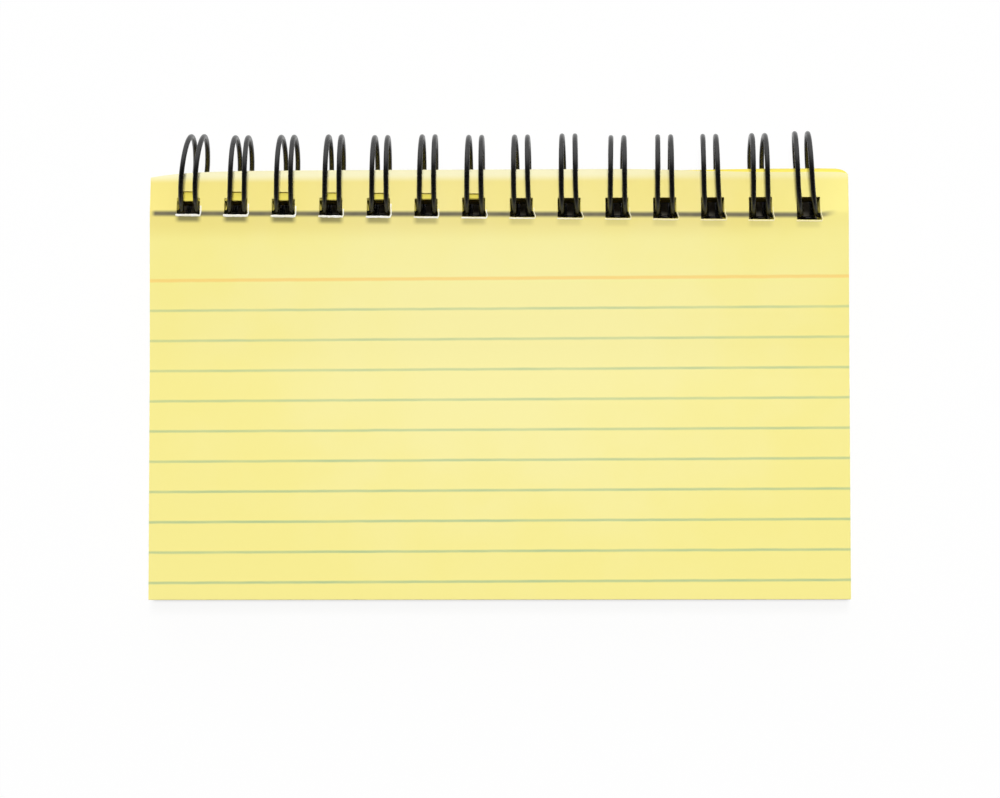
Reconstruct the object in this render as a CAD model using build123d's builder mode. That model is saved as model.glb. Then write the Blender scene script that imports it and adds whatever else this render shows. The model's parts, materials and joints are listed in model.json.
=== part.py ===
"""Spiral-bound pad of index cards: a comb of double wire loops along the top edge, the block of cards
that hangs on it, the front card lying over the comb's spine, and a chipboard back cover.

The pad lies on its back as it comes to rest, on the undersides of the loops and on the far edge of the
cover, so the cards slope down a little from the loops. +X runs along the wire, +Y from the lower edge
of the cards to the loops, +Z up, and the origin is on the table under the middle of the pad. Sizes are
in millimetres and angles in degrees.
"""

import os
from math import asin, atan2, cos, degrees, floor, hypot, radians, sin, sqrt

from build123d import *

os.makedirs("parts", exist_ok=True)

# Cards and cover
card_width = 124.0
card_height = 76.0
card_thickness = 0.2
card_count = 36  # cards in the block, without the front card
cover_thickness = 0.8
leaf_clearance = 0.1  # between leaves, block and wire where they lie on each other
leaf_rise = 26.0  # length over which the front card climbs from the block onto the spine
ridge_radius = 2.0  # of the front card's bend over the spine
rise_radius = 150.0  # of the front card's bend where it leaves the block

# Wire comb
wire_diameter = 0.9
loop_pitch = 8.467  # three double loops to the inch
foot_gap = 2.6  # between the two legs of a loop at the spine, centre to centre
crown_gap = 1.9  # between the two legs at the loop's closed end, centre to centre
loop_slack = 5.6  # how much wider the loops are inside than the stack of cards and cover
loop_set_back = 0.95  # from the cards' top edge down to the loops' centre line
edge_margin = 6.0  # least distance from the last hole's middle to the cards' side
spine_angle = 156.0  # place of the spine round the loop, from the top towards the front
bend_radius = 1.0  # where a leg bends into the spine
crown_space = 0.4  # between a loop's closed end and the spine
wire_end = 3.2  # straight run of the spine past the last loop

# Holes for the loops
hole_side_clearance = 0.3
hole_low_clearance = 0.1
hole_high_clearance = 0.35

# How finely the round wire is drawn: sides of its section, and straight runs in each bend
wire_sides = 6
leg_runs = 22
crown_runs = 6
bend_runs = 3

# Stack and loops
block_thickness = card_count * card_thickness
stack_thickness = block_thickness + leaf_clearance + cover_thickness
loop_radius = (stack_thickness + loop_slack + wire_diameter) / 2
loop_inner = loop_radius - wire_diameter / 2
loop_outer = loop_radius + wire_diameter / 2
loop_count = floor((card_width - 2 * edge_margin) / loop_pitch) + 1

# Heights above the loops' centre line, square to the cards
spine_reach = hypot(loop_radius, bend_radius)
spine_along = spine_reach * cos(radians(spine_angle))
spine_height = spine_reach * sin(radians(spine_angle))
block_top = spine_height - wire_diameter / 2 - leaf_clearance
block_bottom = block_top - block_thickness
cover_back = block_top - stack_thickness
leaf_under = block_top + leaf_clearance

# Distances along the cards from the loops' centre line, and the holes' size
top_edge = loop_set_back
low_edge = top_edge - card_height
hole_low = -(loop_outer + hole_low_clearance)
hole_high = hole_high_clearance - sqrt(loop_inner**2 - cover_back**2)
hole_width = foot_gap + wire_diameter + 2 * hole_side_clearance

# Attitude at rest, on the loops and on the cover's far edge
tilt = asin(loop_outer / hypot(low_edge, cover_back)) - atan2(-cover_back, -low_edge)
far_edge = low_edge * cos(tilt) - (leaf_under + card_thickness) * sin(tilt)
pad = Plane(
    origin=(0, -(far_edge + loop_outer) / 2, loop_outer),
    x_dir=(1, 0, 0),
    z_dir=(0, -sin(tilt), cos(tilt)),
)
pad_side = Plane(origin=pad.origin, x_dir=pad.y_dir, z_dir=pad.x_dir)


def card_outline():
    """Outline of a card, drawn in the sketch that is open."""
    with Locations((0, (top_edge + low_edge) / 2)):
        Rectangle(card_width, card_height)


def hole_row(mode):
    """Row of square holes for the loops, drawn in the sketch that is open."""
    with Locations((0, (hole_low + hole_high) / 2)):
        with GridLocations(loop_pitch, loop_pitch, loop_count, 1):
            Rectangle(hole_width, hole_high - hole_low, mode=mode)


def wire_point(angle, along, sideways):
    """Point beside the loop's circle: along its tangent at the angle, and sideways along the comb."""
    turn = radians(angle)
    up_card = loop_radius * cos(turn) - along * sin(turn)
    off_card = loop_radius * sin(turn) + along * cos(turn)
    return Vector(sideways, up_card, off_card)


def loop_half():
    """Points of the right half of a double loop: bend at the spine, leg, and crown to its middle."""
    leg_start = spine_angle - degrees(atan2(bend_radius, loop_radius))
    crown_length = wire_diameter + crown_space + crown_gap / 2
    leg_end = spine_angle - 360 + degrees(crown_length / loop_radius)
    points = []
    for run in range(bend_runs):
        turn = radians(90 * run / bend_runs)
        sideways = foot_gap / 2 + bend_radius * (1 - sin(turn))
        points.append(wire_point(leg_start, bend_radius * cos(turn), sideways))
    for run in range(leg_runs + 1):
        share = run / leg_runs
        gap = foot_gap + (crown_gap - foot_gap) * share
        points.append(wire_point(leg_start + (leg_end - leg_start) * share, 0, gap / 2))
    for run in range(1, crown_runs // 2 + 1):
        turn = radians(180 * run / crown_runs)
        points.append(wire_point(leg_end, -crown_gap / 2 * sin(turn), crown_gap / 2 * cos(turn)))
    return points


# The route of the one wire: along the spine, and up and down each double loop in turn
right_half = loop_half()
left_half = [Vector(-point.X, point.Y, point.Z) for point in right_half[:-1]]
double_loop = left_half + right_half[::-1]
first_loop = -loop_pitch * (loop_count - 1) / 2
route = []
for loop in range(loop_count):
    shift = Vector(first_loop + loop * loop_pitch, 0, 0)
    route += [pad.from_local_coords(point + shift) for point in double_loop]
route.insert(0, route[0] - pad.x_dir * wire_end)
route.append(route[-1] + pad.x_dir * wire_end)

with BuildPart() as wire_comb:
    with BuildLine() as wire_line:
        Polyline(*route)
    with BuildSketch(Plane(origin=route[0], x_dir=pad.y_dir, z_dir=pad.x_dir)):
        RegularPolygon(wire_diameter / 2, wire_sides)
    sweep(path=wire_line.wires()[0], transition=Transition.RIGHT)

# The cards under the front card, as one block
with BuildPart() as card_block:
    with BuildSketch(pad.offset(block_bottom)):
        card_outline()
        hole_row(Mode.SUBTRACT)
    extrude(amount=block_thickness)

# The front card lies on the block, climbs onto the spine and falls to the top edge
with BuildPart() as front_card:
    with BuildSketch(pad_side.offset(-card_width / 2)):
        with BuildLine():
            FilletPolyline(
                (low_edge, leaf_under),
                (spine_along - leaf_rise, leaf_under),
                (spine_along, spine_height + wire_diameter / 2 + leaf_clearance),
                (top_edge, leaf_under),
                radius=[rise_radius, ridge_radius],
            )
            offset(amount=card_thickness, side=Side.LEFT)
        make_face()
    extrude(amount=card_width)
    with BuildSketch(pad.offset(block_top)):
        hole_row(Mode.ADD)
    extrude(amount=loop_outer, mode=Mode.SUBTRACT)

# The back cover
with BuildPart() as back_cover:
    with BuildSketch(pad.offset(cover_back)):
        card_outline()
        hole_row(Mode.SUBTRACT)
    extrude(amount=cover_thickness)

wire_comb.part.label = "wire_comb"
card_block.part.label = "card_block"
front_card.part.label = "front_card"
back_cover.part.label = "back_cover"
export_step(wire_comb.part, "parts/wire_comb.step")
export_step(card_block.part, "parts/card_block.step")
export_step(front_card.part, "parts/front_card.step")
export_step(back_cover.part, "parts/back_cover.step")
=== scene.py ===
"""Looks of the spiral-bound index card pad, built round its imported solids.

Lengths on the pad are in millimetres: x runs along the wire comb, up runs up the cards and off stands
off them, all from the centre line of the loops. The frame itself is in metres.
"""

import json
import random
from math import atan2, cos, degrees, exp, hypot, pi, radians, sin, sqrt, tan

import bpy
from mathutils import Matrix, Vector


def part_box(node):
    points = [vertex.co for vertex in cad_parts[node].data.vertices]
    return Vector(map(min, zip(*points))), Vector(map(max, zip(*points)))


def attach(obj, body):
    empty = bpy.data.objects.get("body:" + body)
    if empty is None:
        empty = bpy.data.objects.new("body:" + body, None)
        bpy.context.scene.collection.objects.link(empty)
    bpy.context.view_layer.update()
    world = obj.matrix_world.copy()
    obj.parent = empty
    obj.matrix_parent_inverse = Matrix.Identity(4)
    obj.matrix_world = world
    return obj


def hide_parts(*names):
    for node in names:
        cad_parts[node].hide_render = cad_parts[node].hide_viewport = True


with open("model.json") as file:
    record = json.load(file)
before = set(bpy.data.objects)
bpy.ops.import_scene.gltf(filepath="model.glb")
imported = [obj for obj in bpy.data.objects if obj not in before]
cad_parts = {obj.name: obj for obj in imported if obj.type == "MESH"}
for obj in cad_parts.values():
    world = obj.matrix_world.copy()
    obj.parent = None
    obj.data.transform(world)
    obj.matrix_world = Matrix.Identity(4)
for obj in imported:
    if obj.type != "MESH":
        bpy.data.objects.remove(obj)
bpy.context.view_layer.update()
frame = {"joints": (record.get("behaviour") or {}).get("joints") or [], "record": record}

# The pad's own directions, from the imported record
mm = 0.001
joint_places = {joint["name"]: Vector(joint["pos_m"]) for joint in frame["joints"]}
mounts = {mount["name"]: mount for mount in frame["record"]["mounts"]}
loop_centre = joint_places["cover_turn"]
along_comb = Vector((1, 0, 0))
up_card = -Vector(mounts["lower_edge"]["axis"]).normalized()
off_card = along_comb.cross(up_card)

# Cards and cover, as in the solids
card_width = (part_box("front_card")[1].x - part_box("front_card")[0].x) / mm
card_height = 76.0
card_side = card_width / 2
low_edge = (Vector(mounts["lower_edge"]["pos_m"]) - loop_centre).dot(up_card) / mm
top_edge = low_edge + card_height
card_thickness = 0.2
card_count = 36
cover_thickness = 0.8
leaf_clearance = 0.1
leaf_rise = 26.0

# Wire comb, as in the solids
wire_diameter = 0.9
loop_radius = 7.3
loop_pitch = 8.467
loop_count = 14
foot_gap = 2.6
crown_gap = 1.9
spine_angle = 156.0
bend_radius = 1.0
crown_space = 0.4
wire_end = 3.2
spine_up = hypot(loop_radius, bend_radius) * cos(radians(spine_angle))
spine_off = hypot(loop_radius, bend_radius) * sin(radians(spine_angle))
first_loop = -loop_pitch * (loop_count - 1) / 2

# Heights of the stack
block_top = spine_off - wire_diameter / 2 - leaf_clearance
cover_top = block_top - card_count * card_thickness - leaf_clearance
leaf_under = block_top + leaf_clearance
ridge_lift = wire_diameter + 2 * leaf_clearance

# Square holes, as in the solids
hole_width = 4.1
edge_strip = 2.0  # at the cards' sides, without holes
hole_low = -(loop_radius + wire_diameter / 2 + 0.1)
hole_high = 0.35 - sqrt((loop_radius - wire_diameter / 2) ** 2 - (cover_top - cover_thickness) ** 2)

# How the worn pad differs from a new one
comb_skew = -0.0085  # the spine of the comb runs down to the right
spine_end_rise = 0.6  # and bends up at its right end
spine_end_run = (56.5, 61.0)  # where along the comb it does
front_aside = -0.14  # the front card's row of holes sits a little to the left
front_hole_low = -7.34  # its lower edges, at the middle of the row
front_low_skew = -0.0128
front_hole_tear = 0.3  # how far its holes' lower right corners are torn, in the right half
front_hole_high = -3.12  # upper edges of its holes, in the left half and in the right half
front_high_skew = -0.0115
front_hole_high_right = -3.93
notch_half = 1.2  # half width of the higher middle of its left holes, between the legs
notch_depth = 1.35  # how much higher that is than the holes' sides, at the first loop
notch_fall = 0.0095  # how much less, for each millimetre along the comb
burr_radii = (0.19, 0.25)  # of the burrs along the lower edges of its holes
side_burr_radii = (0.1, 0.15)  # and up their right sides
burr_out = 0.2  # how far a burr stands out from the edge, give or take
burr_out_play = 0.03
burr_places = 13  # along a lower edge
side_burr_places = 8
burr_wear = 0.45  # how much thinner the burrs are at the right than at the left
block_hole_high = -4.04  # upper edges of the block's holes
block_high_skew = 0.0025
block_hole_room = 0.1  # at their lower edges
block_aside = -0.2  # the block's row of holes sits to the left too
cover_hole_play = 0.2  # lean of a loop that a hole of the cover takes before it is wider
fall_ease = 1.3  # how much of the front card's fall comes just above the spine
sheet_rise = 0.25  # how far the top sheet of the block rises under the front card
corner_drop = 1.2  # the worn top left corner
corner_reach = 6.5
under_corner = 1.2  # how much more the leaves under the front card are worn there
blunt_drop = 0.45  # the blunt top right corner
blunt_reach = 0.8
blunt_run = 2.4  # length at the right end that is drawn finely for it
block_blunt = 2.5  # how much more the block is worn there
top_left_rise = 0.3  # the front card's top edge, in the left half
top_right_drop = 0.65  # and how much lower it is at the right end
right_end = (20.0, 50.0)  # where along the comb the top edges change towards the right end
block_set_back = 0.25  # the block's top edge lies behind the front card's, apart from its right end
fan_sheets = 6  # top sheets of the block that fan out at the right
fan_shift = 0.3
sheet_aside = 0.05  # how far the sheets of the block are out of line, along the comb and up the card
sheet_shuffle = 0.03
sheet_turn = 0.0004
sheet_fill = 0.9  # share of a card's thickness, which leaves a thin gap between the sheets
# Lean of each loop along the comb, at its front leg, top and back leg, and how far its arch stands up
loop_bends = (
    (0.2, 1.2, 1.05, 0.4),
    (0.45, 0.65, 0.65, 0.18),
    (0.2, 0.4, 0.5, 0.23),
    (0.3, 0.4, 0.3, 0.25),
    (0.15, 0.2, 0.15, 0.1),
    (0.1, 0.2, 0.1, 0.2),
    (0.0, 0.05, 0.05, 0.06),
    (-0.2, -0.25, -0.05, 0.08),
    (-0.25, -0.25, -0.1, 0.23),
    (-0.05, 0.0, -0.1, -0.1),
    (-0.2, -0.15, 0.0, 0.0),
    (-0.5, -0.6, -0.25, 0.04),
    (-0.25, -0.35, -0.45, 0.15),
    (-0.85, -1.2, -0.75, 0.47),
)
lean_angles = (spine_angle, 106.0, 12.0, -62.0, -125.0, -200.0)

# Ruling printed on a card
line_width = 0.7
rule_spacing = 5.365
header_up = -18.23
rule_count = 10
rule_tilt = radians(0.205)


def pad_point(x, up, off):
    """Place in the frame of a point on the pad."""
    return loop_centre + (along_comb * x + up_card * up + off_card * off) * mm


def smooth(start, end, value):
    """Goes from 0 at start to 1 at end, gently at both ends."""
    share = min(max((value - start) / (end - start), 0.0), 1.0)
    return share * share * (3 - 2 * share)


def soft_least(first, second, rounding):
    """The lesser of two values, with the corner between them rounded off."""
    overlap = max(rounding - abs(first - second), 0.0)
    return min(first, second) - overlap * overlap / (4 * rounding)


def bend_through(places, amounts, value):
    """Amount at a value on a smooth curve through the amounts at falling places."""
    last = len(places) - 1
    slopes = [
        (amounts[min(stop + 1, last)] - amounts[max(stop - 1, 0)])
        / (places[min(stop + 1, last)] - places[max(stop - 1, 0)])
        for stop in range(last + 1)
    ]
    stop = max(0, min(last - 1, sum(value < place for place in places) - 1))
    span = places[stop + 1] - places[stop]
    share = (value - places[stop]) / span
    ease = share * share * (3 - 2 * share)
    start_pull = span * slopes[stop] * share * (1 - share) ** 2
    end_pull = span * slopes[stop + 1] * share * share * (share - 1)
    return amounts[stop] + (amounts[stop + 1] - amounts[stop]) * ease + start_pull + end_pull


def spine_drift(x):
    """How far up the card the spine of the comb lies from its place in the solids."""
    return comb_skew * x + spine_end_rise * smooth(*spine_end_run, x)


def worn_corner(x):
    """How far the top edge of every leaf is worn down towards its left corner."""
    return corner_drop * exp(-(x + card_side) / corner_reach)


def blunt_corner(x):
    """How far the top edge of a leaf is worn down at its right corner."""
    return blunt_drop * exp((x - card_side) / blunt_reach)


# Mesh work


def mesh_object(name, corners, faces, face_slots, corner_uvs, materials):
    """Makes an object of faces, each with its material, and lays the millimetres of the card on it as UVs."""
    mesh = bpy.data.meshes.new(name)
    mesh.from_pydata(corners, [], faces)
    uv_layer = mesh.uv_layers.new(name="card_mm")
    for loop in mesh.loops:
        uv_layer.data[loop.index].uv = corner_uvs[loop.vertex_index]
    for material in materials:
        mesh.materials.append(material)
    mesh.polygons.foreach_set("material_index", face_slots)
    mesh.polygons.foreach_set("use_smooth", [True] * len(mesh.polygons))
    mesh.set_sharp_from_angle(angle=radians(35))
    mesh.validate()
    piece = bpy.data.objects.new(name, mesh)
    bpy.context.scene.collection.objects.link(piece)
    return piece


def add_plate(parts, columns, rows, is_open, shape, thickness, slots):
    """Adds a sheet to the lists in parts: a grid with open cells, a front, a back and cut walls.

    shape gives the pad place of a grid point's underside. slots are the materials of front, back, outer
    walls and walls of the open cells.
    """
    corners, faces, face_slots, uvs = parts
    cells = {
        (i, j)
        for i in range(len(columns) - 1)
        for j in range(len(rows) - 1)
        if not is_open((columns[i] + columns[i + 1]) / 2, (rows[j] + rows[j + 1]) / 2)
    }
    number = {}

    def corner(i, j, side):
        if (i, j, side) not in number:
            x, up, off = shape(columns[i], rows[j])
            number[i, j, side] = len(corners)
            corners.append(pad_point(x, up, off + side * thickness))
            uvs.append((x, up))
        return number[i, j, side]

    def add_face(slot, *keys):
        faces.append([corner(*key) for key in keys])
        face_slots.append(slot)

    for i, j in sorted(cells):
        ring = ((i, j), (i + 1, j), (i + 1, j + 1), (i, j + 1))
        add_face(slots[0], *[(*key, 1) for key in ring])
        add_face(slots[1], *[(*key, 0) for key in reversed(ring)])
        beyond = ((i, j - 1), (i + 1, j), (i, j + 1), (i - 1, j))
        for place, neighbour in enumerate(beyond):
            if neighbour not in cells:
                start, end = ring[place], ring[(place + 1) % 4]
                outer = neighbour[0] in (-1, len(columns) - 1) or neighbour[1] in (-1, len(rows) - 1)
                add_face(slots[2 if outer else 3], (*start, 0), (*end, 0), (*end, 1), (*start, 1))


def add_tube(parts, route, radii, sides, slot, flatness=0.0):
    """Adds a tube with domed ends along a route of frame points, with a radius at each point.

    flatness presses its section towards the card, from 0 for round to 1 for flat.
    """
    corners, faces, face_slots, uvs = parts
    first = len(corners)
    headings = []
    for place in range(len(route)):
        before, after = route[max(place - 1, 0)], route[min(place + 1, len(route) - 1)]
        headings.append((after - before).normalized())
    across = headings[0].orthogonal().normalized()
    dome = [(-cos(turn), sin(turn)) for turn in (radians(step) for step in (15, 45, 70))]
    rings = []
    for place, (point, heading, radius) in enumerate(zip(route, headings, radii)):
        across = (across - heading * across.dot(heading)).normalized()
        steps = [(0.0, 1.0)]
        if place == 0:
            steps = dome + steps
        if place == len(route) - 1:
            steps = steps + [(-back, out) for back, out in reversed(dome)]
        for back, out in steps:
            rings.append((point + heading * back * radius, across, heading.cross(across), out * radius))
    for centre, across, upright, radius in rings:
        for side in range(sides):
            turn = 2 * pi * side / sides
            outward = (across * cos(turn) + upright * sin(turn)) * radius
            corners.append(centre + outward - off_card * outward.dot(off_card) * flatness)
            uvs.append((side / sides, 0.0))
    for ring in range(len(rings) - 1):
        for side in range(sides):
            a = first + ring * sides + side
            b = first + ring * sides + (side + 1) % sides
            faces.append((a, b, b + sides, a + sides))
            face_slots.append(slot)
    last = first + (len(rings) - 1) * sides
    faces.append([first + side for side in reversed(range(sides))])
    faces.append([last + side for side in range(sides)])
    face_slots.extend((slot, slot))


def stations(start, end, step):
    """Even places from start up to end, both of them included, about a step apart."""
    count = max(1, round(abs(end - start) / step))
    return [start + (end - start) * place / count for place in range(count + 1)]


def join_stations(*runs):
    """Rising places of several runs, without the ones that fall together."""
    joined = []
    for place in sorted(value for run in runs for value in run):
        if not joined or place - joined[-1] > 1e-6:
            joined.append(place)
    return joined


def hole_sides():
    """Places along the comb of the left and right side of each hole."""
    middles = [first_loop + loop * loop_pitch for loop in range(loop_count)]
    return [middle + side * hole_width / 2 for middle in middles for side in (-1, 1)]


def leaf_columns():
    """Places along the comb that draw the holes and the worn corners of a leaf."""
    left_corner = stations(-card_side, first_loop - hole_width, 0.7)
    return join_stations(left_corner, stations(card_side - blunt_run, card_side, 0.3), hole_sides())


def without_near(places, others, least=0.3):
    """Places without the ones that lie just beside one of the others."""
    return [place for place in places if not any(0 < abs(place - other) < least for other in others)]


def in_hole(x, up):
    """Whether a place on a leaf of the solids is in one of its holes."""
    from_middle = (x - first_loop + loop_pitch / 2) % loop_pitch - loop_pitch / 2
    beside = abs(from_middle) < hole_width / 2 and abs(x) < card_side - edge_strip
    return beside and hole_low < up < hole_high


# Materials


def shade(red, green, blue):
    """Colour for a socket from its place on the usual 0 to 255 scales."""
    scaled = [value / 255 for value in (red, green, blue)]
    return (*[v / 12.92 if v <= 0.04045 else ((v + 0.055) / 1.055) ** 2.4 for v in scaled], 1.0)


def put(socket, value):
    """Sets a socket to a value, or links another socket to it."""
    if isinstance(value, bpy.types.NodeSocket):
        socket.id_data.links.new(value, socket)
    else:
        socket.default_value = value


def node(tree, kind, settings=None, **inputs):
    """Adds a shader node, with its settings and its inputs by name."""
    made = tree.nodes.new("ShaderNode" + kind)
    for name, value in (settings or {}).items():
        setattr(made, name, value)
    for name, value in inputs.items():
        put(made.inputs[name.replace("_", " ")], value)
    return made


def reckon(tree, operation, *values):
    """Adds a sum and returns its result."""
    made = tree.nodes.new("ShaderNodeMath")
    made.operation = operation
    for socket, value in zip(made.inputs, values):
        put(socket, value)
    return made.outputs[0]


def fade(tree, value, start, end, at_start=0.0, at_end=1.0):
    """Result that goes smoothly from one amount to another as a value goes from start to end."""
    made = node(tree, "MapRange", {"interpolation_type": "SMOOTHSTEP"}, Value=value)
    for name, amount in (("From Min", start), ("From Max", end), ("To Min", at_start), ("To Max", at_end)):
        put(made.inputs[name], amount)
    return made.outputs[0]


def tint(tree, share, first, second, way="MIX"):
    """Colour that goes from the first to the second with a share."""
    made = node(tree, "Mix", {"data_type": "RGBA", "blend_type": way})
    put(made.inputs[0], share)
    put(made.inputs[6], first)
    put(made.inputs[7], second)
    return made.outputs[2]


def noise(tree, vector, scale, detail=2.0, roughness=0.5):
    """Even grey noise from 0 to 1."""
    return node(tree, "TexNoise", Vector=vector, Scale=scale, Detail=detail, Roughness=roughness).outputs[0]


def new_group(name, inputs, outputs):
    """Makes a node group with named sockets, and returns it with its inner ends."""
    group = bpy.data.node_groups.new(name, "ShaderNodeTree")
    for label, kind in inputs:
        group.interface.new_socket(label, in_out="INPUT", socket_type="NodeSocket" + kind)
    for label, kind in outputs:
        group.interface.new_socket(label, in_out="OUTPUT", socket_type="NodeSocket" + kind)
    return group, group.nodes.new("NodeGroupInput"), group.nodes.new("NodeGroupOutput")


def use_group(tree, group, **inputs):
    """Places a node group in a material."""
    made = node(tree, "Group", {"node_tree": group})
    for name, value in inputs.items():
        put(made.inputs[name.replace("_", " ")], value)
    return made


def make_paper_fibre():
    """Fibres and cloudy patches of pressed paper, from millimetres."""
    inputs = (("Vector", "Vector"), ("Fibre Length", "Float"), ("Cloud Length", "Float"))
    group, given, result = new_group("paper_fibre", inputs, (("Fibre", "Float"), ("Cloud", "Float")))
    fibre_scale = reckon(group, "DIVIDE", 1.0, given.outputs["Fibre Length"])
    cloud_scale = reckon(group, "DIVIDE", 1.0, given.outputs["Cloud Length"])
    drawn_out = node(group, "Mapping", Vector=given.outputs["Vector"], Scale=(0.35, 1.0, 1.0))
    strands = noise(group, drawn_out.outputs[0], fibre_scale, 3.0, 0.6)
    grit = noise(group, given.outputs["Vector"], reckon(group, "MULTIPLY", fibre_scale, 2.7))
    fibre = reckon(group, "MULTIPLY_ADD", grit, 0.4, reckon(group, "MULTIPLY", strands, 0.6))
    put(result.inputs["Fibre"], fibre)
    cloud = noise(group, given.outputs["Vector"], cloud_scale, 3.0, 0.55)
    put(result.inputs["Cloud"], fade(group, cloud, 0.3, 0.7))
    return group


def make_card_ruling():
    """Masks of the header line and of the writing lines of a card, from its millimetres."""
    group, given, result = new_group(
        "card_ruling",
        (("Vector", "Vector"), ("Line Width", "Float")),
        (("Header", "Float"), ("Lines", "Float")),
    )
    place = node(group, "SeparateXYZ", Vector=given.outputs["Vector"])
    x, up = place.outputs["X"], place.outputs["Y"]
    wander = reckon(group, "MULTIPLY_ADD", noise(group, given.outputs["Vector"], 0.25, 1.0), 0.12, -0.06)
    level = reckon(group, "MULTIPLY_ADD", x, -tan(rule_tilt), up)
    below_header = reckon(group, "SUBTRACT", header_up, reckon(group, "ADD", level, wander))
    steps = reckon(group, "DIVIDE", below_header, rule_spacing)
    line = reckon(group, "ROUND", steps)
    steps_away = reckon(group, "ABSOLUTE", reckon(group, "SUBTRACT", steps, line))
    from_line = reckon(group, "MULTIPLY", steps_away, rule_spacing)
    is_header = reckon(group, "COMPARE", line, 0.0, 0.1)
    broader = reckon(group, "MULTIPLY_ADD", is_header, 0.15, 0.5)
    half = reckon(group, "MULTIPLY", given.outputs["Line Width"], broader)
    stroke = fade(group, from_line, half, reckon(group, "MULTIPLY", half, 0.25), 0.0, 1.0)
    is_line = reckon(group, "COMPARE", line, (rule_count + 1) / 2, rule_count / 2)
    put(result.inputs["Header"], reckon(group, "MULTIPLY", stroke, is_header))
    put(result.inputs["Lines"], reckon(group, "MULTIPLY", stroke, is_line))
    return group


def new_material(name):
    """Makes an empty node material, and returns it with its tree."""
    material = bpy.data.materials.new(name)
    material.use_nodes = True
    material.node_tree.nodes.clear()
    return material, material.node_tree


def finish_surface(tree, colour, roughness, relief, gloss):
    """Adds the surface shader of a material and joins it to the output."""
    shader = node(tree, "BsdfPrincipled", Base_Color=colour, Roughness=roughness, Normal=relief)
    put(shader.inputs["Specular IOR Level"], gloss)
    node(tree, "OutputMaterial", Surface=shader.outputs[0])


def bump(tree, height, strength, distance):
    """Small relief for the Normal of a shader."""
    return node(tree, "Bump", Height=height, Strength=strength, Distance=distance * mm).outputs[0]


def card_place(tree):
    """Millimetres of the card, as a vector, along the comb, and up the card."""
    vector = node(tree, "UVMap", {"uv_map": "card_mm"}).outputs[0]
    split = node(tree, "SeparateXYZ", Vector=vector)
    return vector, split.outputs["X"], split.outputs["Y"]


def object_place(tree):
    """Millimetres of the frame on a piece, as a vector."""
    place = node(tree, "TexCoord").outputs["Object"]
    return node(tree, "VectorMath", {"operation": "SCALE"}, Vector=place, Scale=1 / mm).outputs[0]


def ruled_colour(tree, vector, up, yellow):
    """Card colour with the printed lines on it, faint in places."""
    ruling = use_group(tree, card_ruling, Vector=vector, Line_Width=line_width)
    ink = reckon(tree, "MULTIPLY_ADD", noise(tree, vector, 0.11), 0.35, 0.28)
    ink = reckon(tree, "MULTIPLY", ink, fade(tree, up, -22.0, -74.0, 0.85, 1.15))
    header = reckon(tree, "MULTIPLY", ruling.outputs["Header"], 0.55)
    colour = tint(tree, header, yellow, shade(250, 199, 104))
    lines = reckon(tree, "MULTIPLY", ruling.outputs["Lines"], ink)
    return tint(tree, lines, colour, shade(114, 174, 146))


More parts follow.
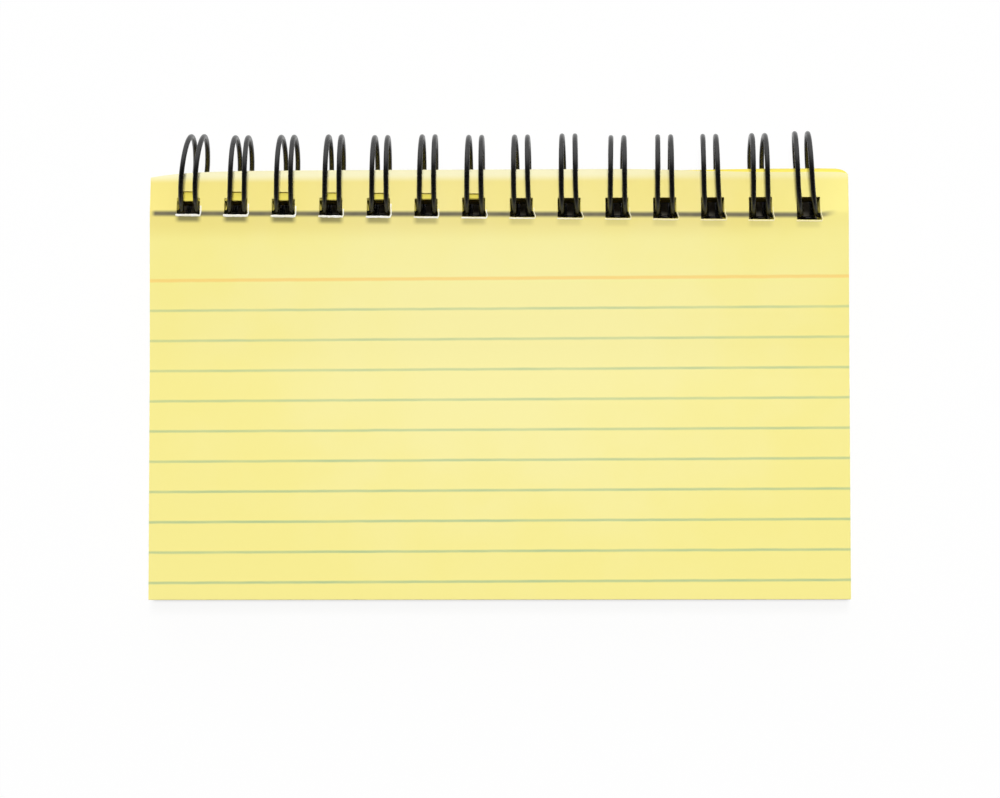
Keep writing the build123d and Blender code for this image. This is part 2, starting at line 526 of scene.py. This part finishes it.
def make_ruled_card():
    """Face of the front card: ruled, with a painted highlight along its top edge, painted shade over the
    spine and painted shadow below the holes.
    """
    material, tree = new_material("ruled_card_face")
    vector, x, up = card_place(tree)
    paper = use_group(tree, paper_fibre, Vector=vector, Fibre_Length=0.35, Cloud_Length=16.0)
    aside = reckon(tree, "DIVIDE", reckon(tree, "SUBTRACT", x, 4.0), card_width * 0.62)
    upward = reckon(tree, "DIVIDE", reckon(tree, "SUBTRACT", up, -28.0), card_height * 0.7)
    upward_squared = reckon(tree, "MULTIPLY", upward, upward)
    far = reckon(tree, "SQRT", reckon(tree, "MULTIPLY_ADD", aside, aside, upward_squared))
    cloudy = reckon(tree, "MULTIPLY_ADD", paper.outputs["Cloud"], 0.25, reckon(tree, "SUBTRACT", far, 0.12))
    yellow = tint(tree, fade(tree, cloudy, 0.15, 1.0), shade(248, 239, 165), shade(247, 236, 146))
    colour = ruled_colour(tree, vector, up, yellow)

    # Grey line over the spine of the comb, where the card is pressed on it: painted shade of the wire showing
    # through the card
    end_rise = fade(tree, x, *spine_end_run, 0.0, spine_end_rise)
    straight_row = reckon(tree, "MULTIPLY_ADD", x, comb_skew + 0.0026, spine_up - 0.11)
    spine_row = reckon(tree, "ADD", straight_row, end_rise)
    from_spine = reckon(tree, "ABSOLUTE", reckon(tree, "SUBTRACT", up, spine_row))
    inside = reckon(tree, "MULTIPLY", fade(tree, x, -61.9, -60.9), fade(tree, x, 60.4, 56.0))
    pressed = reckon(tree, "MULTIPLY_ADD", noise(tree, vector, 0.3), 0.3, 0.82)
    pressed = reckon(tree, "MULTIPLY", inside, pressed)
    spine_shade = reckon(tree, "MULTIPLY", fade(tree, from_spine, 0.75, 0.1), pressed)
    colour = tint(tree, spine_shade, colour, shade(116, 114, 97))

    # Painted shadow below the holes, as cast by their burrs, stronger to the left
    from_first = reckon(tree, "SUBTRACT", x, first_loop + front_aside)
    beside = reckon(tree, "PINGPONG", from_first, loop_pitch / 2)
    hole_row = reckon(tree, "MULTIPLY_ADD", x, front_low_skew, front_hole_low)
    under = reckon(tree, "SUBTRACT", up, hole_row)
    below = reckon(tree, "MULTIPLY", fade(tree, under, -1.75, -0.85), fade(tree, under, -0.1, -0.4))
    in_row = reckon(tree, "MULTIPLY", below, fade(tree, reckon(tree, "ABSOLUTE", x), 59.6, 58.4))
    shadow_below_holes = reckon(tree, "MULTIPLY", fade(tree, beside, 2.6, 1.4), in_row)
    shadow_below_holes = reckon(tree, "MULTIPLY", shadow_below_holes, fade(tree, x, 15.0, -40.0, 0.2, 0.95))
    colour = tint(tree, shadow_below_holes, colour, shade(144, 140, 94))

    # Deeper yellow beside the comb
    deeper = reckon(tree, "MULTIPLY", fade(tree, up, -12.0, -8.0), fade(tree, x, 62.0, 40.0, 0.2, 1.0))
    colour = tint(tree, deeper, colour, shade(249, 244, 234), "MULTIPLY")

    # Paler top edge: a painted highlight where the edge catches the light, stronger to the left
    edge_glare = reckon(tree, "MULTIPLY", fade(tree, up, -1.1, 0.5), fade(tree, x, 10.0, 45.0, 0.88, 0.5))
    colour = tint(tree, edge_glare, colour, shade(253, 248, 208))
    relief = bump(tree, paper.outputs["Fibre"], 0.35, 0.03)
    roughness = reckon(tree, "MULTIPLY_ADD", paper.outputs["Fibre"], 0.2, 0.62)
    finish_surface(tree, colour, roughness, relief, 0.25)
    return material


def make_inner_card():
    """Face of the cards under the front card: ruled and unworn, and a deeper yellow painted for light bounced
    between the cards.
    """
    material, tree = new_material("inner_card_face")
    vector, _, up = card_place(tree)
    paper = use_group(tree, paper_fibre, Vector=vector, Fibre_Length=0.35, Cloud_Length=22.0)
    yellow = tint(tree, paper.outputs["Cloud"], shade(246, 232, 112), shade(243, 226, 94))
    colour = ruled_colour(tree, vector, up, yellow)
    relief = bump(tree, paper.outputs["Fibre"], 0.3, 0.03)
    finish_surface(tree, colour, 0.72, relief, 0.25)
    return material


def make_card_stock():
    """Plain yellow card: the back and the cut edges of a card."""
    material, tree = new_material("plain_card_stock")
    in_mm = object_place(tree)
    paper = use_group(tree, paper_fibre, Vector=in_mm, Fibre_Length=0.3, Cloud_Length=9.0)
    colour = tint(tree, paper.outputs["Cloud"], shade(245, 230, 118), shade(242, 226, 109))
    relief = bump(tree, paper.outputs["Fibre"], 0.3, 0.03)
    finish_surface(tree, colour, 0.78, relief, 0.2)
    return material


def make_card_edges():
    """Cut edges of the stacked cards, each card lighter or darker than the next."""
    material, tree = new_material("cut_card_edges")
    in_mm = object_place(tree)
    from_loops = node(tree, "VectorMath", {"operation": "SUBTRACT"}, Vector=in_mm)
    put(from_loops.inputs[1], loop_centre / mm)
    height = node(tree, "VectorMath", {"operation": "DOT_PRODUCT"}, Vector=from_loops.outputs[0])
    put(height.inputs[1], off_card)
    depth = reckon(tree, "SUBTRACT", block_top, height.outputs["Value"])
    sheet = reckon(tree, "FLOOR", reckon(tree, "DIVIDE", depth, card_thickness))
    tone = node(tree, "TexWhiteNoise", {"noise_dimensions": "1D"}, W=sheet)
    colour = tint(tree, tone.outputs["Value"], shade(246, 231, 122), shade(230, 211, 92))
    paper = use_group(tree, paper_fibre, Vector=in_mm, Fibre_Length=0.2, Cloud_Length=6.0)
    relief = bump(tree, paper.outputs["Fibre"], 0.12, 0.03)
    finish_surface(tree, colour, 0.8, relief, 0.2)
    return material


def make_hole_wall():
    """Cut edges of the cards in the holes, painted dark for the shade deep in the holes."""
    material, tree = new_material("shaded_hole_wall")
    in_mm = object_place(tree)
    paper = use_group(tree, paper_fibre, Vector=in_mm, Fibre_Length=0.3, Cloud_Length=3.0)
    colour = tint(tree, paper.outputs["Cloud"], shade(158, 140, 62), shade(122, 108, 50))
    relief = bump(tree, paper.outputs["Fibre"], 0.4, 0.03)
    finish_surface(tree, colour, 0.8, relief, 0.2)
    return material


def make_bare_fibre():
    """White torn fibre on the burrs of the punched holes, yellower to the right."""
    material, tree = new_material("bare_white_fibre")
    in_mm = object_place(tree)
    paper = use_group(tree, paper_fibre, Vector=in_mm, Fibre_Length=0.15, Cloud_Length=1.2)
    white = tint(tree, paper.outputs["Cloud"], shade(253, 252, 246), shade(247, 243, 222))
    along = node(tree, "SeparateXYZ", Vector=in_mm).outputs["X"]
    colour = tint(tree, fade(tree, along, -15.0, 40.0, 0.0, 0.8), white, shade(249, 238, 176))
    relief = bump(tree, paper.outputs["Fibre"], 0.5, 0.05)
    finish_surface(tree, colour, 0.85, relief, 0.2)
    return material


def make_chipboard():
    """Grey-brown pressed board with flecks of pulp."""
    material, tree = new_material("pressed_chipboard")
    in_mm = object_place(tree)
    paper = use_group(tree, paper_fibre, Vector=in_mm, Fibre_Length=0.7, Cloud_Length=14.0)
    board = tint(tree, paper.outputs["Cloud"], shade(172, 160, 140), shade(166, 153, 132))
    pulp = fade(tree, paper.outputs["Fibre"], 0.35, 0.65)
    colour = tint(tree, reckon(tree, "MULTIPLY", pulp, 0.45), board, shade(192, 182, 163))
    for shift, fleck in ((0.0, shade(104, 92, 76)), (7.3, shade(214, 206, 190))):
        moved = node(tree, "Mapping", Vector=in_mm, Location=(shift, shift, shift)).outputs[0]
        cells = node(tree, "TexVoronoi", Vector=moved, Scale=0.55)
        near = fade(tree, cells.outputs["Distance"], 0.2, 0.1)
        chance = node(tree, "SeparateColor", Color=cells.outputs["Color"]).outputs[0]
        share = reckon(tree, "MULTIPLY", near, fade(tree, chance, 0.55, 0.8))
        colour = tint(tree, reckon(tree, "MULTIPLY", share, 0.6), colour, fleck)
    relief = bump(tree, paper.outputs["Fibre"], 0.5, 0.08)
    finish_surface(tree, colour, 0.86, relief, 0.2)
    return material


def make_coated_wire():
    """Black satin coat on the wire, a little rubbed."""
    material, tree = new_material("black_wire_coat")
    in_mm = object_place(tree)
    rubbed = fade(tree, noise(tree, in_mm, 0.35, 3.0), 0.5, 0.75)
    colour = tint(tree, reckon(tree, "MULTIPLY", rubbed, 0.6), shade(6, 6, 6), shade(18, 18, 17))
    orange_peel = noise(tree, in_mm, 3.0, 2.0)
    roughness = fade(tree, orange_peel, 0.3, 0.7, 0.24, 0.34)
    relief = bump(tree, orange_peel, 0.05, 0.02)
    finish_surface(tree, colour, roughness, relief, 0.6)
    return material


paper_fibre = make_paper_fibre()
card_ruling = make_card_ruling()
ruled_card_face = make_ruled_card()
inner_card_face = make_inner_card()
plain_card_stock = make_card_stock()
cut_card_edges = make_card_edges()
shaded_hole_wall = make_hole_wall()
bare_white_fibre = make_bare_fibre()
pressed_chipboard = make_chipboard()
black_wire_coat = make_coated_wire()


# Wire comb


def wire_point(angle, along, sideways, middle, bends):
    """Point of the wire beside a loop's circle, in the frame, with the loop's own lean and rise."""
    turn = radians(angle)
    *lean, rise = bends
    x = middle + sideways + bend_through(lean_angles, (0.0, *lean, 0.0, 0.0), angle)
    near_spine = smooth(60.0, 150.0, angle) + smooth(-90.0, -170.0, angle)
    up = loop_radius * cos(turn) - along * sin(turn)
    up += spine_drift(x) * near_spine + rise * (1 - near_spine)
    off = loop_radius * sin(turn) + along * cos(turn)
    return pad_point(x, up, off)


def spine_point(x):
    """Point on the straight run of the wire beyond the last loop."""
    return pad_point(x, spine_up + spine_drift(x), spine_off)


def loop_side(side, middle, bends, bend_runs=8, leg_runs=64, crown_runs=8):
    """Points of one half of a double loop: bend at the spine, leg, and crown to its middle."""
    leg_start = spine_angle - degrees(atan2(bend_radius, loop_radius))
    crown_length = wire_diameter + crown_space + crown_gap / 2
    leg_end = spine_angle - 360 + degrees(crown_length / loop_radius)
    points = []
    for run in range(bend_runs):
        turn = radians(90 * run / bend_runs)
        sideways = side * (foot_gap / 2 + bend_radius * (1 - sin(turn)))
        points.append(wire_point(leg_start, bend_radius * cos(turn), sideways, middle, bends))
    for run in range(leg_runs + 1):
        share = run / leg_runs
        gap = foot_gap + (crown_gap - foot_gap) * share
        angle = leg_start + (leg_end - leg_start) * share
        points.append(wire_point(angle, 0, side * gap / 2, middle, bends))
    for run in range(1, crown_runs + 1):
        turn = radians(90 * run / crown_runs)
        along, sideways = -crown_gap / 2 * sin(turn), side * crown_gap / 2 * cos(turn)
        points.append(wire_point(leg_end, along, sideways, middle, bends))
    return points


def make_wire_comb():
    """The one wire of the comb: along the spine, and up and down each double loop in turn."""
    route = []
    for loop, bends in enumerate(loop_bends):
        middle = first_loop + loop * loop_pitch
        route += loop_side(-1, middle, bends)
        route += reversed(loop_side(1, middle, bends)[:-1])
    foot = -first_loop + foot_gap / 2 + bend_radius
    beyond = [foot + wire_end * step / 5 for step in range(1, 6)]
    route = [spine_point(-x) for x in reversed(beyond)] + route + [spine_point(x) for x in beyond]
    parts = ([], [], [], [])
    add_tube(parts, route, [wire_diameter / 2 * mm] * len(route), 12, 0)
    comb = mesh_object("coated_wire_comb", *parts, [black_wire_coat])
    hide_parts("wire_comb")
    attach(comb, "bound_pad")


# Front card


def leaf_lift(x, up):
    """Height of the front card over the block: up onto the spine, and down to the top edge."""
    from_ridge = up - spine_up - spine_drift(x)
    climb = ridge_lift * (1 + from_ridge / leaf_rise)
    to_edge = 1 - from_ridge / (top_edge - spine_up - spine_drift(x))
    fall = ridge_lift * max(to_edge, 0.0) ** fall_ease
    lift = soft_least(climb, fall, 0.1)
    return -soft_least(-lift, 0.0, 0.12)


def front_card_up(x, up):
    """How far up a point of the front card lies once its holes and top edge are skewed and worn."""
    low = front_hole_low + front_low_skew * x - hole_low
    high_left = front_hole_high + front_high_skew * x
    high = high_left + (front_hole_high_right - high_left) * smooth(-2.1, 2.1, x) - hole_high
    edge = top_left_rise - top_right_drop * smooth(*right_end, x) - worn_corner(x) - blunt_corner(x)
    if up <= hole_low:
        return up + low * smooth(-20.0, hole_low, up)
    if up <= hole_high:
        return up + low + (high - low) * (up - hole_low) / (hole_high - hole_low)
    return up + high + (edge - high) * (up - hole_high) / (top_edge - hole_high)


right_sides = set(hole_sides()[1::2])


def front_card_point(x, up):
    """Pad place of the underside of the front card."""
    moved = front_card_up(x, up)
    near_holes = smooth(-14.0, hole_low, up) * smooth(card_side, card_side - 4.0, abs(x))
    aside = front_aside * near_holes
    if x in right_sides and up >= hole_low:
        aside += front_hole_tear * smooth(-10.0, 5.0, x) * smooth(hole_low + 1.3, hole_low, up)
    return x + aside, moved, leaf_under + leaf_lift(x, moved)


def burr_route(middle, right_share):
    """Frame points of the burr along the lower and the right edge of a hole in the front card."""
    half = hole_width / 2
    runs = burr_places - 1
    low = [(middle + half * (2 * step / runs - 1), hole_low) for step in range(burr_places)]
    rise = (hole_high - hole_low) * right_share / side_burr_places
    right = [(middle + half, hole_low + rise * (step + 1)) for step in range(side_burr_places)]
    route = []
    for x, up in low + right:
        x_moved, up_moved, off = front_card_point(x, up)
        outward = burr_out + random.uniform(-burr_out_play, burr_out_play)
        if up == hole_low:
            up_moved -= outward
        else:
            x_moved += outward
        route.append(pad_point(x_moved, up_moved, off + card_thickness))
    return route


def make_front_card():
    """The top card: a bent sheet with its square holes, and white burrs where they were punched."""
    blunt_start = card_side - blunt_run
    even = stations(-card_side, blunt_start, 1.05) + stations(blunt_start, card_side, 0.3)
    left_middles = [first_loop + loop * loop_pitch for loop in range(loop_count // 2)]
    notch_sides = [middle + side * notch_half for middle in left_middles for side in (-1, 1)]
    fixed = hole_sides() + notch_sides
    columns = join_stations(without_near(even, fixed), fixed)
    rows = join_stations(
        stations(low_edge, spine_up - leaf_rise - 4, 2.4),
        stations(spine_up - leaf_rise - 4, -14.0, 1.0),
        stations(-14.0, hole_low, 0.5),
        stations(hole_low, hole_high, 0.25),
        stations(hole_high, top_edge, 0.5),
    )

    def is_open(x, up):
        in_notch = any(abs(x - middle) < notch_half for middle in left_middles)
        depth = 0.0 if x > 0 or in_notch else notch_depth - notch_fall * (x - first_loop)
        return in_hole(x, up) and up < hole_high - depth

    parts = ([], [], [], [])
    add_plate(parts, columns, rows, is_open, front_card_point, card_thickness, (0, 1, 1, 1))
    for loop in range(loop_count):
        route = burr_route(first_loop + loop * loop_pitch, random.uniform(0.25, 0.55))
        worn = 1 - burr_wear * smooth(1, 8, loop)
        radii = [random.uniform(*burr_radii) * worn * mm for _ in range(burr_places)]
        radii += [random.uniform(*side_burr_radii) * worn * mm for _ in range(side_burr_places)]
        add_tube(parts, route, radii, 10, 2, 0.5)
    card = mesh_object("ruled_front_card", *parts, [ruled_card_face, plain_card_stock, bare_white_fibre])
    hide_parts("front_card")
    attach(card, "turning_card")


# Cards of the block and the back cover


def make_card_block():
    """The cards under the front card, each a sheet of its own, a little out of line with the next."""
    columns = leaf_columns()
    rows = [low_edge, hole_low, hole_high, top_edge]
    parts = ([], [], [], [])
    for sheet in range(card_count):
        from_top = card_count - 1 - sheet
        fanned = max(0.0, 1 - from_top / fan_sheets)
        fan = fan_shift * fanned**2 / card_width
        rise = sheet_rise * fanned
        under = block_top - (from_top + 1) * card_thickness
        aside = random.gauss(0, sheet_aside)
        upward = max(-2 * sheet_shuffle, min(2 * sheet_shuffle, random.gauss(0, sheet_shuffle)))
        turn = random.gauss(0, sheet_turn)

        def shape(x, up, fan=fan, rise=rise, under=under, aside=aside, upward=upward, turn=turn):
            moved = x + aside
            if hole_low <= up <= hole_high and abs(x) < card_side:
                moved += block_aside * (1 - 0.6 * smooth(*right_end, x))
            if up == hole_low:
                up += comb_skew * x - block_hole_room
            elif up == hole_high:
                up = block_hole_high + block_high_skew * x
                under += rise
            elif up == top_edge:
                up -= worn_corner(x) * under_corner + blunt_corner(x) * block_blunt
                up -= block_set_back * (1 - smooth(*right_end, x))
            return moved, up + upward + turn * x + fan * (x + card_side), under

        face = 0 if from_top == 0 else 1
        add_plate(parts, columns, rows, in_hole, shape, card_thickness * sheet_fill, (face, 1, 1, 2))
    # The hole walls take the material painted dark for their shade.
    materials = [inner_card_face, cut_card_edges, shaded_hole_wall]
    block = mesh_object("yellow_card_block", *parts, materials)
    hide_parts("card_block")
    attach(block, "bound_pad")


def make_back_cover():
    """The chipboard cover, with softened cut edges, and holes that are wider where a loop leans."""
    rows = [low_edge, hole_low, hole_high, top_edge]
    room = {}
    for loop, (*lean, _) in enumerate(loop_bends):
        left, right = hole_sides()[2 * loop : 2 * loop + 2]
        room[left] = min(min(lean) + cover_hole_play, 0.0)
        room[right] = max(max(lean) - cover_hole_play, 0.0)

    def shape(x, up):
        moved = x
        if up in (hole_low, hole_high):
            moved += room.get(x, 0.0)
            up += min(comb_skew * x, 0.0) if up == hole_low else max(comb_skew * x, 0.0)
        elif up == top_edge:
            up -= worn_corner(x) * under_corner + blunt_corner(x)
        return moved, up, cover_top - cover_thickness

    parts = ([], [], [], [])
    add_plate(parts, leaf_columns(), rows, in_hole, shape, cover_thickness, (0, 0, 0, 0))
    cover = mesh_object("chipboard_cover", *parts, [pressed_chipboard])
    softened = cover.modifiers.new("softened_edges", "BEVEL")
    softened.width = 0.12 * mm
    softened.segments = 2
    softened.limit_method = "ANGLE"
    softened.angle_limit = radians(50)
    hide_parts("back_cover")
    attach(cover, "turning_cover")


random.seed(7)
make_wire_comb()
make_front_card()
make_card_block()
make_back_cover()


# Floor, light and camera


def seen_directly(tree):
    """Light path share of rays that show the surroundings: from the camera, in gloss and through glass."""
    path = node(tree, "LightPath")
    shown = reckon(tree, "ADD", path.outputs["Is Camera Ray"], path.outputs["Is Glossy Ray"])
    return reckon(tree, "MINIMUM", reckon(tree, "ADD", shown, path.outputs["Is Transmission Ray"]), 1.0)


def make_floor():
    """A pale floor that looks white a little away from the pad, keeps its shadow close to it, and is painted
    dark under the pad as shade seen through the holes.
    """
    low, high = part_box("card_block")
    material, tree = new_material("pale_floor")
    place = node(tree, "SeparateXYZ", Vector=node(tree, "NewGeometry").outputs["Position"])
    outside = []
    for axis, name in enumerate("XY"):
        middle = (low[axis] + high[axis]) / 2
        from_middle = reckon(tree, "ABSOLUTE", reckon(tree, "SUBTRACT", place.outputs[name], middle))
        outside.append(reckon(tree, "SUBTRACT", from_middle, high[axis] - middle))
    distance = reckon(tree, "MAXIMUM", *outside)
    white_share = fade(tree, distance, -0.0015, 0.0005, 0.0, 0.93)
    shown = reckon(tree, "MULTIPLY", white_share, seen_directly(tree))
    # Painted shade: the floor is dark under the pad, for the holes to look deep.
    painted_shade_under_pad, pale = (0.22, 0.2, 0.16, 1), (0.92, 0.92, 0.92, 1)
    colour = tint(tree, fade(tree, distance, -0.004, -0.001), painted_shade_under_pad, pale)
    matt = node(tree, "BsdfDiffuse", Color=colour)
    white = node(tree, "Emission", Color=(1, 1, 1, 1), Strength=1.0)
    mixed = node(tree, "MixShader", Fac=shown)
    put(mixed.inputs[1], matt.outputs[0])
    put(mixed.inputs[2], white.outputs[0])
    node(tree, "OutputMaterial", Surface=mixed.outputs[0])
    half = 20.0
    mesh = bpy.data.meshes.new("pale_floor")
    corners = [(-half, -half, 0), (half, -half, 0), (half, half, 0), (-half, half, 0)]
    mesh.from_pydata(corners, [], [(0, 1, 2, 3)])
    mesh.materials.append(material)
    floor = bpy.data.objects.new("pale_floor", mesh)
    bpy.context.scene.collection.objects.link(floor)


def make_world():
    """Soft light from all round, strongest from beyond the loops and white along the horizon."""
    world = bpy.data.worlds.new("soft_studio")
    world.use_nodes = True
    tree = world.node_tree
    tree.nodes.clear()
    towards = node(tree, "SeparateXYZ", Vector=node(tree, "TexCoord").outputs["Generated"])
    beyond_loops = fade(tree, towards.outputs["Y"], 0.25, 0.8, 0.05, 1.4)
    horizon = fade(tree, towards.outputs["Z"], 0.05, 0.25, 1.0, 0.0)
    strength = reckon(tree, "MAXIMUM", beyond_loops, horizon)
    sky = node(tree, "Background", Color=(1, 1, 1, 1), Strength=strength)
    node(tree, "OutputWorld", Surface=sky.outputs[0])
    bpy.context.scene.world = world


def make_softbox(name, place, width, height, power):
    """A soft lamp that faces the pad."""
    lamp = bpy.data.lights.new(name, "AREA")
    lamp.shape = "RECTANGLE"
    lamp.size = width
    lamp.size_y = height
    lamp.energy = power
    softbox = bpy.data.objects.new(name, lamp)
    softbox.location = place
    softbox.rotation_euler = (-Vector(place)).to_track_quat("-Z", "Y").to_euler()
    softbox.visible_glossy = False
    bpy.context.scene.collection.objects.link(softbox)


def make_camera():
    """Camera over the pad, a little below it and to the right, as in the photograph."""
    image_width = 1000
    focal_pixels = 3346.8
    place = Vector((0.01602, -0.05814, 0.59941))
    aim = Vector((0.00021, -0.00589, 0.008))
    forward = (aim - place).normalized()
    right = forward.cross(Vector((0, 1, 0))).normalized()
    upright = right.cross(forward)
    lens = bpy.data.cameras.new("photo_camera")
    lens.sensor_fit = "HORIZONTAL"
    lens.sensor_width = 36.0
    lens.lens = focal_pixels * lens.sensor_width / image_width
    camera = bpy.data.objects.new("photo_camera", lens)
    turned = Matrix((right, upright, -forward)).transposed()
    camera.matrix_world = Matrix.Translation(place) @ turned.to_4x4()
    bpy.context.scene.collection.objects.link(camera)
    bpy.context.scene.camera = camera


make_floor()
make_world()
make_softbox("overhead_softbox", place=(0.032, 0.24, 1.2), width=0.12, height=0.24, power=11.1)
make_camera()
bpy.context.scene.view_settings.view_transform = "Standard"
